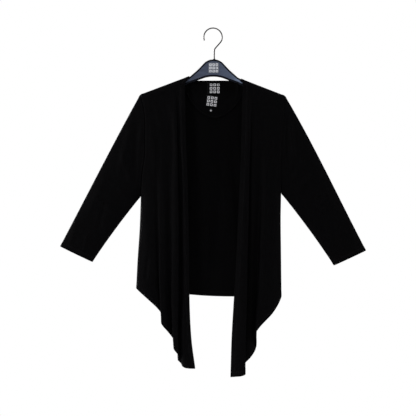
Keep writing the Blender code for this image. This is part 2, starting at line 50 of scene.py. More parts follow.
FLOOR_HEIGHT, FLOOR_RADIUS, FLOOR_THICK = -1.34, 1.2, 0.01
SURROUND_LIGHT = 0.10  # what the surround gives off. The camera alone sees it as full white.
LAMP_WIDTH = 1.0
LAMPS = (
    # name, place, height on the middle line that it points at, watts
    ("key lamp", (-1.9, -2.3, 0.4), -0.5, 31),
    ("fill lamp", (2.9, -0.8, -0.1), -0.5, 31),
    ("side lamp", (-2.9, -0.5, -0.2), -0.5, 37),
    ("top lamp", (0.3, -0.9, 1.7), -0.3, 20),
    ("back lamp", (-2.3, 1.9, 0.5), -0.5, 110),
)
CAMERA_PLACE, CAMERA_LENS = (-0.0144, -3.325, -0.516), 100


def fill(tree, node, values):
    """Gives a node's inputs these values, or links them to these sockets, and returns the node."""
    for name, value in values.items():
        if isinstance(value, bpy.types.NodeSocket):
            tree.links.new(value, node.inputs[name])
        else:
            node.inputs[name].default_value = value
    return node


def add_node(tree, kind, values):
    return fill(tree, tree.nodes.new(f"ShaderNode{kind}"), values)


def new_material(name, values):
    """A material of one Principled shader with these inputs, its node tree and its shader."""
    made = bpy.data.materials.new(name)
    made.use_nodes = True
    tree = made.node_tree
    return made, tree, fill(tree, tree.nodes["Principled BSDF"], values)


bpy.ops.object.select_all(action="DESELECT")
bpy.ops.mesh.primitive_cylinder_add(
    vertices=128, radius=FLOOR_RADIUS, depth=FLOOR_THICK, location=(0, 0, FLOOR_HEIGHT - FLOOR_THICK / 2)
)
bpy.ops.object.transform_apply(location=True, rotation=True, scale=True)
floor = bpy.context.object
floor.name = "studio_floor"
pale = {"Base Color": (0.90, 0.90, 0.90, 1), "Roughness": 0.9}
glow = {"Emission Color": (1, 1, 1, 1), "Emission Strength": 0.45}
floor.data.materials.append(new_material("pale floor", {**pale, **glow})[0])

surround = bpy.data.worlds.new("white surround")
surround.use_nodes = True
bpy.context.scene.world = surround
sky_tree = surround.node_tree
seen = add_node(sky_tree, "LightPath", {}).outputs["Is Camera Ray"]
level = add_node(sky_tree, "MapRange", {"Value": seen, "To Min": SURROUND_LIGHT, "To Max": 1.0})
fill(sky_tree, sky_tree.nodes["Background"], {"Color": (1, 1, 1, 1), "Strength": level.outputs["Result"]})

for name, place, aim, power in LAMPS:
    bpy.ops.object.light_add(type="AREA", location=place)
    lamp = bpy.context.object
    lamp.name = name
    lamp.data.shape = "DISK"
    lamp.data.size = LAMP_WIDTH
    lamp.data.energy = power
    way = np.array((0, 0, aim)) - place
    lamp.rotation_euler = (math.atan2(math.hypot(way[0], way[1]), -way[2]), 0, math.atan2(-way[0], way[1]))

bpy.ops.object.camera_add(location=CAMERA_PLACE, rotation=(math.pi / 2, 0, 0))
camera = bpy.context.object
camera.name = "shop camera"
camera.data.lens = CAMERA_LENS
bpy.context.scene.camera = camera
bpy.context.scene.view_settings.view_transform = "Standard"

# ---- Back ----------------------------------------------------------------------------------------
# The back is cut in one from fine black jersey, with a wide straight neck edge, set in at both shoulders
# and both sides. Its hem is turned up once and sewn with two needles.

CLOTH = 0.0011  # thickness of the jersey
SEAM_GAP = 0.0003
SHOULDER_DEPTH = 0.0125  # half the garment's depth just under the shoulder seam
BODY_DEPTH = 0.0195  # the same from the chest down
CHEST_DROP = 0.150
SHOULDER_ROUND = 0.014
ARMHOLE_DEPTH = 0.0150
OVAL_POWER = 2.3
NECK_DEPTH = 0.0150
NECK_ROUND = 0.018
NECK_EDGE = -0.1481
NECK_TURN = 0.020
HEM = 0.0140  # depth of the turned-up hem
HEM_SOFT = 0.0018  # the wall changes over this at the turned edge and at the sewn line
HEM_SKINS = (0.0003, 0.0003), (0.0007, 0.0006)  # outside and inside: how much thicker, and how far sewn in
NEEDLES = (0.0104, 0.0128)  # the two lines of stitches, from the hem's edge
THREAD_OUT = CLOTH / 2 + 0.0001  # from the middle of the cloth
INNER_THREAD = 0.0004  # how much further out it is inside the hem


def table(names, *rows, per=1):
    """A table with named columns, as one array for each column. Its rows state the values times per."""
    return {name: np.array(column, float) / per for name, column in zip(names, zip(*rows))}


RIGHT = {
    "sign": -1,
    "neck": (-0.0690, -0.1372),
    "shoulder": (-0.2090, -0.1900),
    "armhole": table(
        ("height", "across"),
        (-0.1900, -0.2090),
        (-0.2300, -0.1985),
        (-0.2800, -0.1945),
        (-0.3500, -0.1945),
        (-0.4200, -0.2030),
        (-0.4819, -0.2071),
    ),
    "side_seam": table(
        ("height", "across"),
        (-0.4819, -0.2071),
        (-0.5740, -0.2104),
        (-0.6660, -0.2165),
        (-0.7466, -0.2205),
    ),
    "rim": 0.026,  # within this distance of the side seam the cloth rounds back to it
}
LEFT = {
    "sign": 1,
    "neck": (0.0805, -0.1443),
    "shoulder": (0.2065, -0.1932),
    "armhole": table(
        ("height", "across"),
        (-0.1932, 0.2065),
        (-0.2400, 0.2030),
        (-0.3000, 0.2000),
        (-0.3783, 0.1945),
        (-0.4300, 0.1940),
        (-0.4733, 0.1955),
    ),
    "side_seam": table(
        ("height", "across"),
        (-0.4733, 0.1955),
        (-0.5510, 0.1942),
        (-0.6430, 0.1952),
        (-0.7696, 0.1966),
    ),
    "rim": 0.044,
}
BACK_HEM = table(
    ("share", "height"),
    (0.00, -0.7466),
    (0.18, -0.7585),
    (0.36, -0.7652),
    (0.50, -0.7698),
    (0.70, -0.7712),
    (1.00, -0.7696),
)
BACK_FOLDS = table(
    ("share", "proud", "spread"),
    (0.17, 0.0040, 0.045),
    (0.31, -0.0030, 0.060),
    (0.52, 0.0030, 0.070),
    (0.71, -0.0030, 0.055),
    (0.84, 0.0045, 0.050),
)
# Creases, as seen from the front, in millimetres: from one place to another, across and height, then how far
# the line bows to its side, its width, and how far it stands out. Below 0 it is a hollow.
BACK_CREASES = (
    (-150, -215, -118, -400, 6, 10, 2.2),
    (-178, -300, -140, -560, 8, 9, 2),
    (-196, -455, -120, -600, 10, 8, 2.4),
    (-195, -500, -150, -700, 4, 10, 2),
    (140, -220, 112, -430, -5, 10, 2.2),
    (172, -290, 150, -540, -6, 8, 2.2),
    (188, -450, 104, -580, -12, 8, 2.6),
    (186, -520, 150, -730, -4, 10, 2.2),
    (-60, -270, -85, -720, -6, 14, 2),
    (50, -250, 78, -735, 7, 13, 2.2),
    (-10, -420, -22, -762, 4, 15, -1.8),
    (20, -330, 16, -640, 3, 12, 1.4),
    (-104, -560, -112, -755, 2, 10, -2),
    (120, -600, 124, -765, 3, 9, -2.2),
    (-60, -190, 0, -215, 8, 9, 1),
    (62, -192, 10, -236, -6, 10, 1.2),
)
UNEVEN = 0.0005  # height of the jersey's own waves
CREASE_ENDS, CREASE_FLANKS = 0.35, 0.4  # the share of its length that it rises over, and how its flanks dip
BACK_FADE = (0.030, 0.040)  # creases fade out over this at a side seam and at the top
SEAM_WIDE, SEAM_IN = 0.0015, 0.0006  # the dent at a seam
TURNING, TURNING_WIDE, TURNING_PROUD = 0.0050, 0.0030, 0.0005  # the ridge beside it, over the turnings
ARM_ROWS, BODY_ROWS, HEM_ROWS, BACK_COLUMNS = 92, 84, 28, 158
HEM_SHARE = 0.93  # of the way from underarm to hem, where the closer rows of the hem begin
ARM_CLOSER, BACK_CLOSER = 0.8, 0.35  # how much closer rows or columns stand at both ends
FOLDS_FROM_SEAM = 0.08  # the back's folds fade out within this share of its width from a side seam
RIM_ROUND = 0.4  # how far a rim stands out, as a share of the wall


def blend(a, b, share):
    return a + (b - a) * share


def ease(share):
    share = np.clip(share, 0, 1)
    return share**2 * (3 - 2 * share)


def through(rows, at, by, value):
    """The value column at these places of the by column, on a smooth curve that doesn't overshoot."""
    order = np.argsort(rows[by])
    x, y = rows[by][order], rows[value][order]
    slope = np.diff(y) / np.diff(x)
    tangent = np.concatenate([slope[:1], (slope[:-1] + slope[1:]) / 2, slope[-1:]])
    tangent[1:-1][slope[:-1] * slope[1:] <= 0] = 0
    at = np.clip(np.asarray(at, float), x[0], x[-1])
    i = np.clip(np.searchsorted(x, at, side="right") - 1, 0, len(x) - 2)
    width = x[i + 1] - x[i]
    t = (at - x[i]) / width
    start = (1 + 2 * t) * (1 - t) ** 2 * y[i] + t * (1 - t) ** 2 * width * tangent[i]
    end = t**2 * (3 - 2 * t) * y[i + 1] + t**2 * (t - 1) * width * tangent[i + 1]
    return start + end


def quarter_round(distance, radius):
    """0 at the edge and 1 from radius on, rising as a quarter of a circle does."""
    share = np.clip(np.asarray(distance, float) / radius, 0, 1)
    return np.sqrt(1 - (1 - share) ** 2)


def oval(share):
    """Depth of a flat tube at this share of the way across it, 0 at both edges and 1 between."""
    share = np.clip(np.asarray(share, float), 0, 1)
    return (1 - np.abs(2 * share - 1) ** OVAL_POWER) ** (1 / OVAL_POWER)


def spread(count, closer):
    """Shares from 0 to 1, closer together at both ends."""
    even = np.linspace(0, 1, count)
    return blend(even, (1 - np.cos(math.pi * even)) / 2, closer)


def two_steps(turn, count, closer):
    """Shares from 0 to 1, so many as far as the turn and so many from there, both counting it."""
    return np.concatenate([np.linspace(0, turn, count), np.linspace(turn, 1, closer)[1:]])


def side_across(side, height):
    """Where the body ends at the side: the armhole's curve, and the side seam under it."""
    arm = through(side["armhole"], height, "height", "across")
    seam = through(side["side_seam"], height, "height", "across")
    return np.where(np.asarray(height) > side["side_seam"]["height"][0], arm, seam)


def shoulder_height(side, share):
    """Height of the shoulder seam, from the shoulder point at 0 to the neck point at 1."""
    return blend(side["shoulder"][1], side["neck"][1], share)


def body_depth(drop):
    """Half the depth this far below the shoulder seam."""
    return blend(SHOULDER_DEPTH, BODY_DEPTH, ease(drop / CHEST_DROP)) * quarter_round(drop, SHOULDER_ROUND)


def rounded_to_side(side, height, depth, inward):
    """That depth, brought down within the rim to the sleeve's at the armhole and to none at the side seam."""
    top, underarm = side["shoulder"][1], side["side_seam"]["height"][0]
    edge = ARMHOLE_DEPTH * oval((top - np.asarray(height)) / (top - underarm))
    return edge + np.maximum(depth - edge, 0) * quarter_round(inward, side["rim"])


def row_shares(side):
    """The rows' places down the side edge. The first ARM_ROWS end at the underarm."""
    top, hem = side["shoulder"][1], side["side_seam"]["height"][-1]
    under = (top - side["side_seam"]["height"][0]) / (top - hem)
    below = two_steps(HEM_SHARE, BODY_ROWS, HEM_ROWS)[1:]
    return np.concatenate([spread(ARM_ROWS, ARM_CLOSER) * under, under + (1 - under) * below])


def neck_distance(across):
    """How far inside the nearer neck point a place on the back is, below 0 on the shoulders."""
    return np.minimum(across - RIGHT["neck"][0], LEFT["neck"][0] - across)


def back_top(across):
    """Height of the back's upper edge: shoulder seam, neck edge, shoulder seam."""
    heights = []
    for side in (RIGHT, LEFT):
        share = (across - side["shoulder"][0]) / (side["neck"][0] - side["shoulder"][0])
        heights.append(shoulder_height(side, np.clip(share, 0, 1)))
    return blend(np.where(across < 0, *heights), NECK_EDGE, ease(neck_distance(across) / NECK_TURN))


def back_points():
    """The middle of the back's cloth, rows by columns, from the wearer's right to left."""
    share = spread(BACK_COLUMNS, BACK_CLOSER)
    down = blend(row_shares(RIGHT)[:, None], row_shares(LEFT)[:, None], share)
    at_top = blend(RIGHT["shoulder"][0], LEFT["shoulder"][0], share)
    top = back_top(at_top)
    height = top + (through(BACK_HEM, share, "share", "height") - top) * down
    across = blend(side_across(RIGHT, height), side_across(LEFT, height), share)
    full = np.maximum(body_depth(top - height), NECK_DEPTH * quarter_round(neck_distance(across), NECK_ROUND))
    right = rounded_to_side(RIGHT, height, full, across - side_across(RIGHT, height))
    left = rounded_to_side(LEFT, height, full, side_across(LEFT, height) - across)
    depth = np.where(across < 0, right, left)
    waves = sum(
        proud * np.exp(-(((share - place) / wide) ** 2)) for place, proud, wide in zip(*BACK_FOLDS.values())
    )
    depth = depth + waves * np.clip(np.minimum(share, 1 - share) / FOLDS_FROM_SEAM, 0, 1) * ease(down)
    return np.stack([across, SEAM_GAP / 2 + depth, height], axis=-1)


def unit(vectors):
    return vectors / np.maximum(np.linalg.norm(vectors, axis=-1, keepdims=True), 1e-12)


def normals_of(points, forward=None):
    """Unit normals of a grid, on the side that faces forward, or out of a tube where no way is given."""
    across = np.gradient(points, axis=1)
    if forward is None:
        across = np.roll(points, -1, axis=1) - np.roll(points, 1, axis=1)
        forward = points - points.mean(axis=1)[:, None]
    normal = unit(np.cross(across, np.gradient(points, axis=0)))
    return normal if (normal * forward).sum() > 0 else -normal


def along(points, axis):
    """How far each point lies along the cloth from the grid's first row or column."""
    steps = np.linalg.norm(np.diff(points, axis=axis), axis=-1)
    start = np.zeros_like(np.take(points[..., 0], [0], axis=axis))
    return np.concatenate([start, np.cumsum(steps, axis=axis)], axis=axis)


def creased(points, normals, creases, keep):
    """The points, moved along their normals by the listed creases and by the jersey's own unevenness."""
    x, z = points[..., 0], points[..., 2]
    lift = UNEVEN * (np.sin(61 * x + 23 * z + 1.3) + np.sin(-37 * x + 43 * z + 0.4) * np.sin(19 * z + 2.1))
    for x0, z0, x1, z1, bow, width, height in np.array(creases) / 1000:
        length = math.hypot(x1 - x0, z1 - z0)
        ux, uz = (x1 - x0) / length, (z1 - z0) / length
        share = ((x - x0) * ux + (z - z0) * uz) / length
        off = (x - x0) * -uz + (z - z0) * ux - bow * 4 * share * (1 - share)
        near = (off / width) ** 2
        ends = ease(share / CREASE_ENDS) * ease((1 - share) / CREASE_ENDS)
        lift += height * ends * (1 - CREASE_FLANKS * near) * np.exp(-near)
    return points + normals * (lift * keep)[..., None]


def seam_dip(distance):
    """Cloth is drawn in at a seam, and stands a little proud beside it over the seam's turnings."""
    drawn_in = np.exp(-((distance / SEAM_WIDE) ** 2))
    return TURNING_PROUD * np.exp(-(((distance - TURNING) / TURNING_WIDE) ** 2)) - SEAM_IN * drawn_in


def hem_walls(to_edge):
    """How far the outer and the inner skin lie from the middle of the cloth beside a turned-up hem."""
    turned = 1 - ease((to_edge - HEM) / HEM_SOFT + 0.5)
    drawn_in = np.exp(-(((to_edge - sum(NEEDLES) / 2) / HEM_SOFT) ** 2))
    return [CLOTH / 2 + thicker * turned - sewn_in * drawn_in for thicker, sewn_in in HEM_SKINS]


def add_piece(name, data):
    """A new object at the origin, the only one that operators then act on."""
    made = bpy.data.objects.new(name, data)
    bpy.context.scene.collection.objects.link(made)
    bpy.ops.object.select_all(action="DESELECT")
    made.select_set(True)
    bpy.context.view_layer.objects.active = made
    return made


def shell(name, points, normals, outer, inner, finish, closed=False):
    """A thin wall about a grid, with rounded rims and a UV map in metres. A closed grid is an open tube."""
    rows, columns = points.shape[:2]
    outer, inner = (np.broadcast_to(side, (rows, columns))[..., None] for side in (outer, inner))
    skins = [points + normals * outer, points - normals * inner]
    ring = np.concatenate([points, points[:, :1]], axis=1) if closed else points
    at = np.arange(rows * columns).reshape(rows, columns)
    at = np.concatenate([at, at[:, :1]], axis=1) if closed else at
    chart = np.stack([along(ring, 1), -along(ring, 0)], axis=-1)
    away = np.zeros_like(points)
    away[0] += points[0] - points[1]
    away[-1] += points[-1] - points[-2]
    if not closed:
        away = unit(away)
        away[:, [0, -1]] += unit(points[:, [0, -1]] - points[:, [1, -2]])
    middle = (skins[0] + skins[1]) / 2 + unit(away) * (outer + inner) * RIM_ROUND
    corners, charts = (
        np.stack([g[:-1, :-1], g[:-1, 1:], g[1:, 1:], g[1:, :-1]], axis=2).reshape(-1, 4, *g.shape[2:])
        for g in (at, chart)
    )
    one = rows * columns
    faces, places = [corners, corners[:, ::-1] + one], [charts, charts[:, ::-1]]
    if closed:
        loops = [(at[0], chart[0]), (at[-1, ::-1], chart[-1, ::-1])]
    else:
        loops = [[np.concatenate([g[0], g[1:, -1], g[-1, -2::-1], g[-2::-1, 0]]) for g in (at, chart)]]
    rim_points, ahead, behind = [], slice(1, None), slice(None, -1)
    for loop, edge_chart in loops:
        count = len(loop) - 1
        base = 2 * one + sum(len(made) for made in rim_points)
        rim_points.append(middle.reshape(-1, 3)[loop[:-1]])
        mid = base + (np.arange(count + 1) % count)
        for near, far in ((loop, mid), (mid, loop + one)):
            faces.append(np.stack([near[ahead], near[behind], far[behind], far[ahead]], axis=-1))
            places.append(np.stack([edge_chart[i] for i in (ahead, behind, behind, ahead)], axis=1))
    mesh = bpy.data.meshes.new(name)
    corner_points = np.concatenate([skins[0].reshape(-1, 3), skins[1].reshape(-1, 3), *rim_points])
    faces = np.concatenate(faces)
    mesh.from_pydata(corner_points.tolist(), [], faces.tolist())
    mesh.uv_layers.new(name="cloth").data.foreach_set("uv", np.concatenate(places).ravel())
    a, b, c, d = corner_points[faces].transpose(1, 0, 2)
    if (a * (np.cross(a, b) + np.cross(c, d))).sum() < 0:
        mesh.flip_normals()
    mesh.materials.append(finish)
    mesh.shade_smooth()
    return add_piece(name, mesh)


def line_at(points, normals, distance):
    """Points and normals this far along the cloth up from the grid's last row, one for each column."""
    to_edge = along(points[::-1], 0)
    both = np.concatenate([points, normals], axis=-1)[::-1]
    columns = range(points.shape[1])
    place = np.array([[np.interp(distance, to_edge[:, c], both[:, c, i]) for i in range(6)] for c in columns])
    return place[:, :3], unit(place[:, 3:])


def new_thread(name, colour, shine):
    return new_material(name, {"Base Color": (*colour, 1), "Roughness": 0.55, "Specular IOR Level": shine})[0]


black_thread = new_thread("black thread", (0.0040, 0.0037, 0.0045), 0.12)
STITCH = table(("along", "half"), (-0.5, 0.25), (-0.3, 1.0), (0.3, 1.0), (0.5, 0.25))
STITCH_SINK = 0.0003  # its ends, into the cloth


def stitches(name, lines, lift, thread, pitch=0.0030, length=0.0023, half=0.00026):
    """Short lengths of thread along these lines of points and normals, sunk a little at both ends."""
    corners, faces = [], []
    for points, normals in lines:
        steps = np.concatenate([[0], np.cumsum(np.linalg.norm(np.diff(points, axis=0), axis=1))])
        places = np.arange(pitch, steps[-1] - pitch, pitch)
        ends = (places - length / 2, points), (places + length / 2, points)
        middle, normal, before, after = (
            np.stack([np.interp(at, steps, values[:, i]) for i in range(3)], axis=-1)
            for at, values in ((places, points), (places, normals), *ends)
        )
        way = unit(after - before)
        beside = np.cross(way, normal)
        for share, thick in zip(*STITCH.values()):
            centre = middle + way * length * share + normal * (lift - (abs(share) == 0.5) * STITCH_SINK)
            for a, b in ((1, 0), (0, 1), (-1, 0), (0, -1)):
                corners.append(centre + (beside * a + normal * b) * half * thick)
    # Four corners for each section of every line, one after another, all of its stitches side by side.
    sections, start = len(STITCH["along"]), 0
    for line in range(0, len(corners), 4 * sections):
        count = len(corners[line])
        at = start + np.arange(4 * sections * count).reshape(sections, 4, count)
        for near, far in zip(at[:-1], at[1:]):
            faces += [np.stack((near[j], near[j - 3], far[j - 3], far[j]), axis=-1) for j in range(4)]
        faces += [np.stack(at[0, ::-1], axis=-1), np.stack(at[-1], axis=-1)]
        start += 4 * sections * count
    mesh = bpy.data.meshes.new(name)
    mesh.from_pydata(np.concatenate(corners).tolist(), [], np.concatenate(faces).tolist())
    mesh.materials.append(thread)
    mesh.shade_smooth()
    made = add_piece(name, mesh)
    bpy.ops.object.mode_set(mode="EDIT")
    bpy.ops.mesh.select_all(action="SELECT")
    bpy.ops.mesh.normals_make_consistent(inside=False)
    bpy.ops.object.mode_set(mode="OBJECT")
    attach(made, "root")
    return made


def calc(tree, operation, *values):
    """A Math node with these values or sockets as its inputs, and its output socket."""
    made = tree.nodes.new("ShaderNodeMath")
    made.operation = operation
    return fill(tree, made, dict(enumerate(values))).outputs[0]


def chart_parts(tree):
    """The two sockets of the cloth's own UV map, in metres across and down."""
    chart = tree.nodes.new("ShaderNodeUVMap")
    chart.uv_map = "cloth"
    parts = add_node(tree, "SeparateXYZ", {0: chart.outputs["UV"]})
    return parts.outputs["X"], parts.outputs["Y"]


def colour_ramp(tree, factor, *stops):
    """Goes from colour to colour at these places."""
    made = add_node(tree, "ValToRGB", {0: factor})
    for place, _ in stops[1:-1]:
        made.color_ramp.elements.new(place)
    for element, (place, colour) in zip(made.color_ramp.elements, stops):
        element.position, element.color = place, (*colour, 1)
    return made.outputs["Color"]


def raised(tree, height, strength, distance):
    bump = {"Height": height, "Strength": strength, "Distance": distance}
    return add_node(tree, "Bump", bump).outputs["Normal"]


# Fine black jersey: columns of small knitted Vs, soft and slightly purple where light grazes it.
WALE, COURSE, LEG_SLANT = 0.00125, 0.0010, 1.5  # one V's width and height, and how steep its legs are
jersey, tree, shader = new_material("black jersey", {"Roughness": 0.62, "Specular IOR Level": 0.025})
fill(tree, shader, {"Sheen Weight": 0.0055, "Sheen Roughness": 0.42, "Sheen Tint": (0.75, 0.70, 0.95, 1)})
u, v = chart_parts(tree)
leg = calc(tree, "PINGPONG", calc(tree, "DIVIDE", u, WALE), 0.5)
leg_round = calc(tree, "SINE", calc(tree, "MULTIPLY", leg, 2 * math.pi))
slant = calc(tree, "MULTIPLY", leg, LEG_SLANT)
slant = calc(tree, "ADD", calc(tree, "DIVIDE", v, COURSE), slant)
loop = calc(tree, "SINE", calc(tree, "MULTIPLY", calc(tree, "FRACT", slant), math.pi))
yarn = calc(tree, "MULTIPLY", leg_round, loop)
place = tree.nodes.new("ShaderNodeTexCoord").outputs["Object"]
uneven = add_node(tree, "TexNoise", {"Vector": place, "Scale": 90, "Detail": 4}).outputs["Fac"]
cloudy = calc(tree, "MULTIPLY_ADD", uneven, 0.6, 0.2)
# The colour is painted paler on the tops of the yarn loops and darker between them, as painted shade in the
# knit's hollows. The cloudy noise adds random tone.
tint = calc(tree, "MULTIPLY_ADD", yarn, 0.65, cloudy)
tint = colour_ramp(tree, tint, (0.35, (0.00042, 0.00039, 0.0005)), (1.0, (0.0018, 0.00165, 0.0021)))
fill(tree, shader, {"Base Color": tint, "Normal": raised(tree, yarn, 0.5, 0.00025)})

back = back_points()
back_normals = normals_of(back, (0, 1, 0))
back_left, back_down = along(back, 1), along(back, 0)
back_right, back_up = back_left[:, -1:] - back_left, back_down[-1:] - back_down
back_keep = ease(np.minimum(back_left, back_right) / BACK_FADE[0]) * ease(back_down / BACK_FADE[1])
back = creased(back, back_normals, BACK_CREASES, back_keep)
back[:ARM_ROWS] += (back_normals * (seam_dip(back_left) + seam_dip(back_right))[..., None])[:ARM_ROWS]
back_normals = normals_of(back, (0, 1, 0))
back_outer, back_inner = hem_walls(back_up)
back_cloth = shell("back_cloth", back, back_normals, back_outer, back_inner, jersey)
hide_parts("back_panel")
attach(back_cloth, "root")
needle_lines = [line_at(back, back_normals, needle) for needle in NEEDLES]
needle_lines += [(line - line_normals * INNER_THREAD, -line_normals) for line, line_normals in needle_lines]
back_thread = stitches("back_hem_stitches", needle_lines, THREAD_OUT, black_thread)

# ---- Fronts --------------------------------------------------------------------------------------
# Two open fronts, each cut with a hem that falls from the side seam to a long blunt point for tying. Nothing
# holds the cloth between, so it hangs in loose folds. The front edges are turned in as the hem is.

# Where a front's cloth lies at its hem, in thousandths: shares of its width, and metres back and down.
FOLD_COLUMNS = ("cloth", "across", "back", "drop")
RIGHT["folds"] = table(
    FOLD_COLUMNS,
    (0, 0, 0, 0),
    (110, 205, 1, 28),
    (205, 375, 2, 52),
    (250, 448, 4, 65),
    (283, 490, 8, 74),
    (308, 514, 8, 80),
    (331, 512, 2, 86),
    (360, 484, -3, 92),
    (390, 464, -9, 97),
    (425, 496, -12, 105),
    (470, 560, -9, 117),
    (520, 625, -2, 131),
    (565, 678, 4, 144),
    (594, 706, 5, 152),
    (618, 706, -1, 158),
    (645, 684, -6, 164),
    (673, 670, -12, 170),
    (704, 704, -15, 179),
    (740, 770, -14, 191),
    (768, 798, -8, 197),
    (792, 806, 2, 202),
    (818, 823, 11, 207),
    (845, 858, 12, 213),
    (868, 878, 4, 218),
    (888, 888, -6, 222),
    (915, 912, -12, 225),
    (955, 954, -10, 227),
    (1000, 1000, -3, 228),
    per=1000,
)
LEFT["folds"] = table(
    FOLD_COLUMNS,
    (0, 0, 0, 0),
    (70, 52, 2, 17),
    (135, 125, 1, 35),
    (200, 215, -1, 52),
    (270, 335, -4, 69),
    (335, 452, -6, 87),
    (385, 520, -4, 102),
    (420, 538, 2, 111),
    (460, 519, 10, 124),
    (500, 502, 19, 137),
    (545, 509, 25, 150),
    (600, 540, 22, 161),
    (665, 614, 16, 176),
    (725, 705, 14, 189),
    (763, 758, 15, 196),
    (788, 776, 10, 201),
    (812, 756, 2, 208),
    (838, 718, -4, 214),
    (866, 714, -11, 220),
    (903, 790, -13, 225),
    (950, 895, -10, 227),
    (1000, 1000, -4, 229),
    per=1000,
)
# The folds grow as this power of the way down, and start softly over the first GROWTH_FROM of it.
GROWTH_FROM = 0.10
RIGHT["growth"] = table(("cloth", "power"), (0.00, 2.2), (0.62, 2.2), (0.76, 0.7), (1.00, 0.7))
LEFT["growth"] = table(("cloth", "power"), (0.00, 1.7), (0.66, 1.7), (0.79, 0.7), (1.00, 0.7))
# Towards the hem, from FLARE_START of the way down, the fold along the front edge widens by this share of the
# front. That moves the cloth from FLARE_FROM on.
RIGHT["flare"], LEFT["flare"] = 0.10, 0.0
FLARE_START, FLARE_FROM, FLARE_RISE, FLARE_FALL = 0.72, 0.70, 0.14, 0.13
NECK_SLANT = 0.03  # by this share of the way down, the front edge has come out from the neck point
RIGHT["front_edge"] = table(
    ("height", "across"),
    (-0.1600, -0.0815),
    (-0.2150, -0.0806),
    (-0.2920, -0.0791),
    (-0.4560, -0.0728),
    (-0.6230, -0.0693),
    (-0.8100, -0.0667),
    (-0.8960, -0.0616),
    (-0.9720, -0.0515),
)
LEFT["front_edge"] = table(
    ("height", "across"),
    (-0.1660, 0.0868),
    (-0.2150, 0.0845),
    (-0.2750, 0.0826),
    (-0.3840, 0.0797),
    (-0.5366, 0.0725),
    (-0.7005, 0.0650),
    (-0.8100, 0.0580),
    (-0.8900, 0.0535),
    (-0.9930, 0.0505),
)
RIGHT["creases"] = (
    (-130, -185, -105, -330, 4, 9, 1.6),
    (-100, -175, -92, -420, 2, 5, 1.8),
    (-190, -260, -170, -460, 12, 11, 1.2),
    (-200, -470, -150, -560, 8, 11, 0.9),
    (-205, -500, -190, -690, 5, 12, 1.2),
    (-145, -420, -140, -660, 3, 7, 1.6),
    (-186, -640, -196, -740, 2, 6, -1.6),
    (-170, -205, -150, -300, 3, 10, 1.2),
)
LEFT["creases"] = (
    (125, -190, 122, -420, 3, 7, -1.8),
    (100, -180, 98, -460, 1, 5, 1.6),
    (150, -330, 144, -700, 4, 9, 1.6),
    (186, -450, 140, -560, -8, 11, 0.8),
    (184, -420, 178, -720, -3, 10, 2),
    (170, -260, 160, -420, -4, 11, 1.2),
    (178, -640, 186, -760, 2, 6, -1.6),
)
FRONT_COLUMNS, FRONT_CLOSER = 176, 0.25
FRONT_FADE = (0.025, 0.012, 0.040)  # creases fade out over this at the side seam, the front edge and the top


def front_points(side):
    """The middle of one front's cloth, from the side seam to the front edge."""
    folds = side["folds"]
    cloth = spread(FRONT_COLUMNS, FRONT_CLOSER)
    down = row_shares(side)[:, None]
    top = shoulder_height(side, cloth)
    hem = side["side_seam"]["height"][-1] - through(folds, cloth, "cloth", "drop")
    height = top + (hem - top) * down
    growth = down ** through(side["growth"], cloth, "cloth", "power") * ease(down / GROWTH_FROM)
    edge_fold = ease((cloth - FLARE_FROM) / FLARE_RISE) * ease((1 - cloth) / FLARE_FALL)
    flare = side["flare"] * edge_fold * ease((down - FLARE_START) / (1 - FLARE_START))
    across = blend(cloth, through(folds, cloth, "cloth", "across"), growth) - flare
    outer = side_across(side, height)
    edge = through(side["front_edge"], height, "height", "across")
    inner = blend(side["neck"][0], edge, ease(down / NECK_SLANT))
    depth = rounded_to_side(side, height, body_depth(top - height), cloth * np.abs(inner - outer))
    forward = through(folds, cloth, "cloth", "back") * growth - SEAM_GAP / 2 - depth
    return np.stack([blend(outer, inner, across), forward, height], axis=-1)


cuts = (RIGHT, "right", (0.330, 0.840), 0.1250), (LEFT, "left", (0.330, 0.860), 0.1190)
for side, name, flat, area in cuts:
    points = front_points(side)
    normals = normals_of(points, (0, -1, 0))
    from_side, from_top = along(points, 1), along(points, 0)
    to_edge, to_hem = from_side[:, -1:] - from_side, from_top[-1:] - from_top
    keep = math.prod(ease(at / fade) for at, fade in zip((from_side, to_edge, from_top), FRONT_FADE))
    points = creased(points, normals, side["creases"], keep)
    points[:ARM_ROWS] += (normals * seam_dip(from_side)[..., None])[:ARM_ROWS]
    normals = normals_of(points, (0, -1, 0))
    (hem_outer, hem_inner), (edge_outer, edge_inner) = hem_walls(to_hem), hem_walls(to_edge)
    outer, inner = np.where(to_hem < to_edge, hem_outer, edge_outer), np.maximum(hem_inner, edge_inner)
    cloth = shell(f"front_{name}_cloth", points, normals, outer, inner, jersey)
    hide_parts(f"front_{name}")
    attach(cloth, "root")
    lines = [line_at(points, normals, needle) for needle in NEEDLES]
    lines += [line_at(points.transpose(1, 0, 2), normals.transpose(1, 0, 2), needle) for needle in NEEDLES]
    thread = stitches(f"front_{name}_stitches", lines, THREAD_OUT, black_thread)

# ---- Sleeves -------------------------------------------------------------------------------------
# Three-quarter sleeves, set in flat, each with one underarm seam and a hem turned up at the cuff. They hang
# nearly flat from the hanger's ends, with a slack fold beside the armhole.

